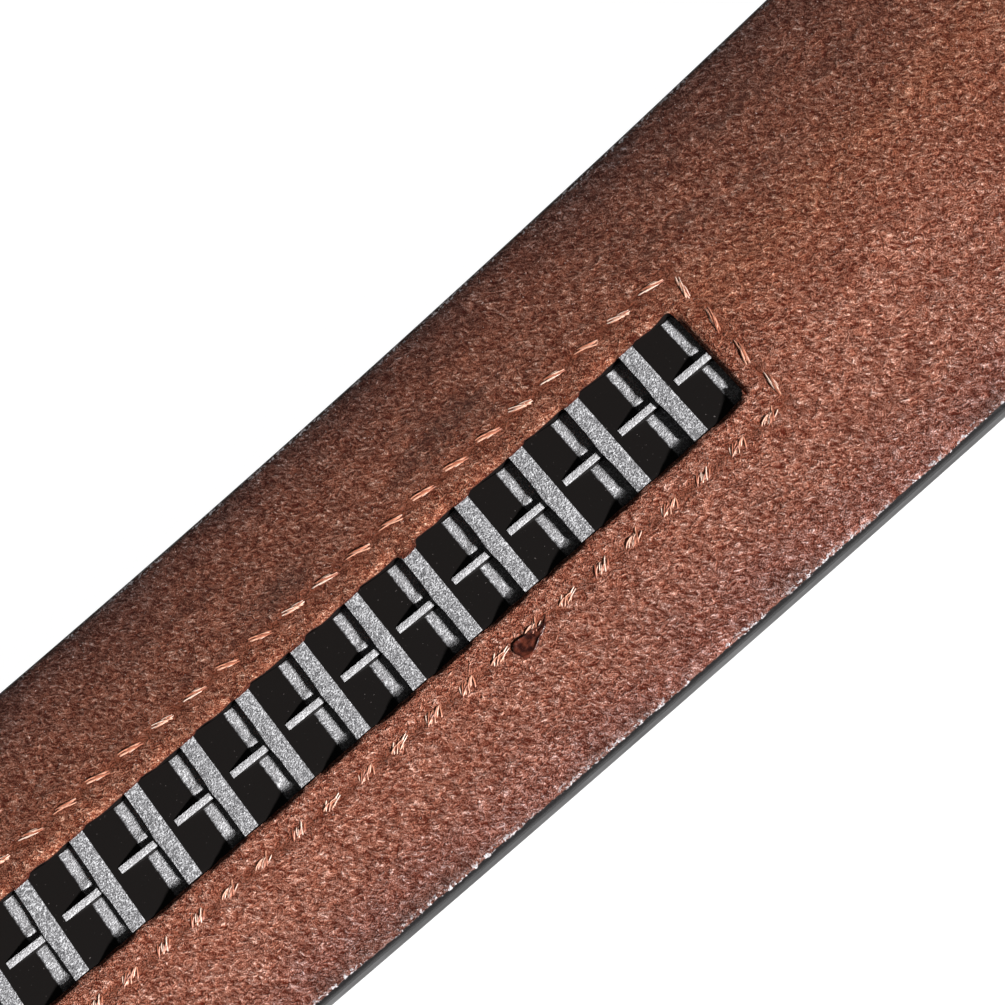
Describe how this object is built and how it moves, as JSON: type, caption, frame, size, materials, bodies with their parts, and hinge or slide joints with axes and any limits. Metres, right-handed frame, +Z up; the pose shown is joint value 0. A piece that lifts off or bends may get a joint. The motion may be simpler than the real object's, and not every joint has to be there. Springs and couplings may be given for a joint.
{
  "type": "ratchet belt",
  "caption": "Leather waist belt lying straight with its back up: a toothed plastic rack shows through a stitched window, and a plain slide buckle holds the other end.",
  "frame": {"origin": "bottom centre of the whole belt, on the surface that it lies on", "axes": "+X along the belt towards its tip, +Y across it, +Z up, out of the belt's back"},
  "size_m": [1.1476, 0.0436, 0.0249],
  "materials": {
    "outer_leather": "smooth, slightly glossy dark brown leather with a black painted edge",
    "back_leather": "napped reddish brown leather, burnt darker towards the edges, stitched in copper brown thread",
    "seam_thread": "copper brown stitching thread, a little shiny",
    "rack_plastic": "black moulded plastic, smooth ramps, sand textured crests and fins",
    "buckle_metal": "satin dark nickel on cast metal"
  },
  "bodies": {
    "root": {"outer_strap": "outer_leather", "back_strap": "back_leather", "ratchet_rack": "rack_plastic", "buckle": "buckle_metal"}
  },
  "joints": []
}
